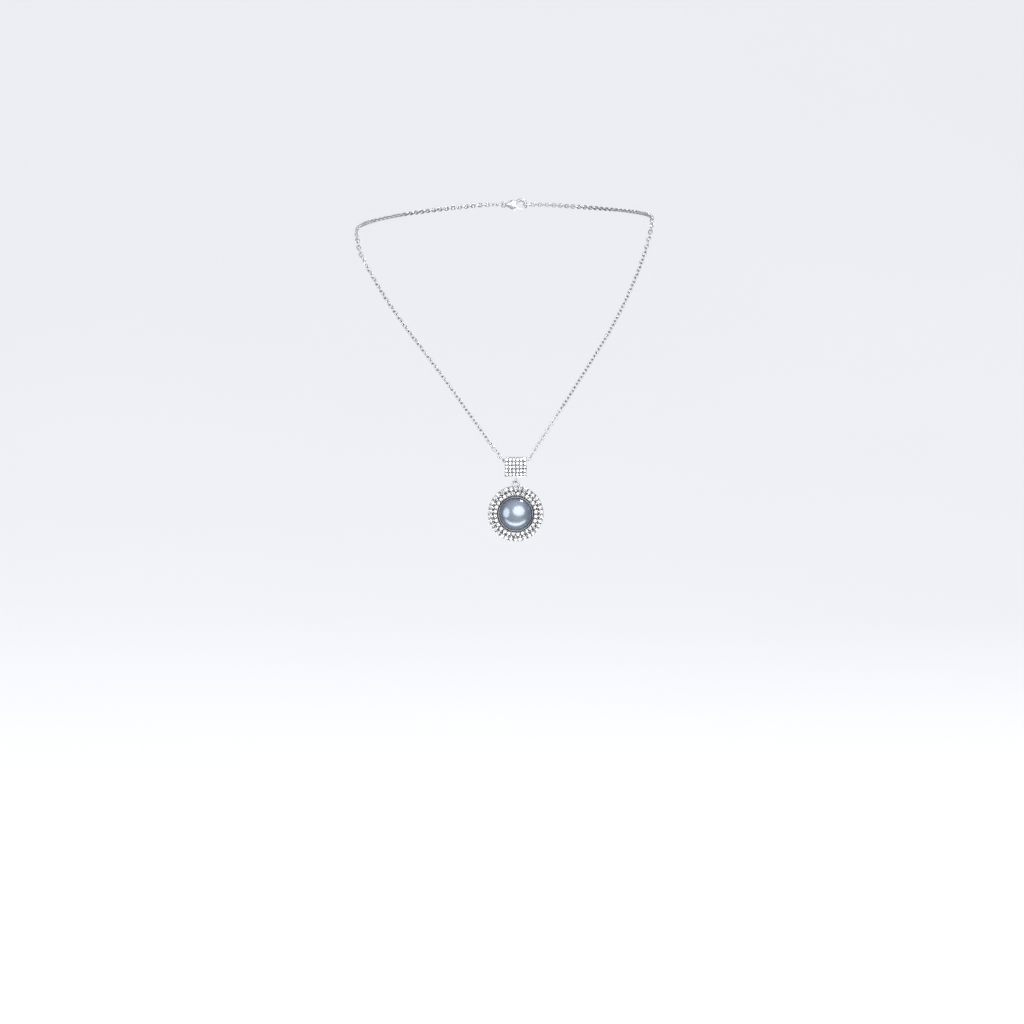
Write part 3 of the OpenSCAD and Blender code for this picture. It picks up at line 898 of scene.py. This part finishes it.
def softbox(name, target, direction, distance, size, power, colour=(1, 1, 1)):
    d = bpy.data.lights.new(name, "AREA")
    d.shape = "ELLIPSE"
    d.size, d.size_y = size
    d.energy = power
    d.color = colour
    ob = bpy.data.objects.new(name, d)
    az, el = map(math.radians, direction)
    v = np.array([math.sin(az) * math.cos(el), -math.cos(az) * math.cos(el), math.sin(el)])
    p = np.array(target) * MM + v * distance
    ob.location = p
    ob.rotation_mode = "QUATERNION"
    ob.rotation_quaternion = Vector(v).to_track_quat("Z", "Y")
    scene.collection.objects.link(ob)
    ob.visible_camera = False
    return ob


softbox("key_front", HALO, (21, 20), 0.75, (1.15, 0.9), 8.2)
softbox("fill_left", HALO, (-64, 5), 0.9, (0.75, 0.85), 4.6)
softbox("rim_right", HALO, (112, 15), 1.4, (0.35, 1.2), 1.6)
softbox("rim_back", HALO, (-150, 30), 1.6, (0.6, 0.9), 3.0)
softbox("top_spot", HALO, (124, 62), 1.1, (0.24, 0.18), 7.0)
softbox("low_card", HALO, (0, -70), 0.155, (0.50, 0.060), 0.28)

world = bpy.data.worlds.new("studio")
scene.world = world
world.use_nodes = True
nt = world.node_tree
nt.nodes.clear()
out = nt.nodes.new("ShaderNodeOutputWorld")
mixs = nt.nodes.new("ShaderNodeMixShader")
pale = nt.nodes.new("ShaderNodeBackground")
pale.inputs["Color"].default_value = (0.93, 0.95, 1.0, 1)
pale.inputs["Strength"].default_value = 1.15
room = nt.nodes.new("ShaderNodeBackground")
path = nt.nodes.new("ShaderNodeLightPath")
tc = nt.nodes.new("ShaderNodeTexCoord")
sep = nt.nodes.new("ShaderNodeSeparateXYZ")
nt.links.new(tc.outputs["Generated"], sep.inputs["Vector"])
cr = nt.nodes.new("ShaderNodeValToRGB")
els = cr.color_ramp.elements
els[0].position, els[0].color = 0.0, (0.30, 0.31, 0.34, 1)
els[1].position, els[1].color = 1.0, (0.75, 0.78, 0.84, 1)
for p, c in ((0.30, (0.10, 0.11, 0.13)), (0.46, (0.025, 0.03, 0.04)), (0.56, (0.05, 0.06, 0.08)), (0.75, (0.26, 0.28, 0.33))):
    e = els.new(p)
    e.color = (*c, 1)
mr = nt.nodes.new("ShaderNodeMapRange")
mr.inputs["From Min"].default_value = -1
nt.links.new(sep.outputs["Z"], mr.inputs["Value"])
nt.links.new(mr.outputs["Result"], cr.inputs["Fac"])
glow = nt.nodes.new("ShaderNodeMath")
glow.operation = "ABSOLUTE"
nt.links.new(sep.outputs["Y"], glow.inputs[0])
band = nt.nodes.new("ShaderNodeMapRange")
band.interpolation_type = "SMOOTHSTEP"
band.inputs["From Min"].default_value = 0.5
band.inputs["From Max"].default_value = 0.95
band.inputs["To Max"].default_value = 0.3
nt.links.new(glow.outputs[0], band.inputs["Value"])
lift = nt.nodes.new("ShaderNodeMix")
lift.data_type = "RGBA"
lift.blend_type = "ADD"
lift.inputs["Factor"].default_value = 1.0
nt.links.new(cr.outputs["Color"], lift.inputs[6])
nt.links.new(band.outputs["Result"], lift.inputs[7])
nt.links.new(lift.outputs[2], room.inputs["Color"])
room.inputs["Strength"].default_value = 1.0
mx = nt.nodes.new("ShaderNodeMath")
mx.operation = "MAXIMUM"
nt.links.new(path.outputs["Is Glossy Ray"], mx.inputs[0])
nt.links.new(path.outputs["Is Transmission Ray"], mx.inputs[1])
nt.links.new(mx.outputs[0], mixs.inputs["Fac"])
nt.links.new(pale.outputs[0], mixs.inputs[1])
nt.links.new(room.outputs[0], mixs.inputs[2])
nt.links.new(mixs.outputs[0], out.inputs["Surface"])
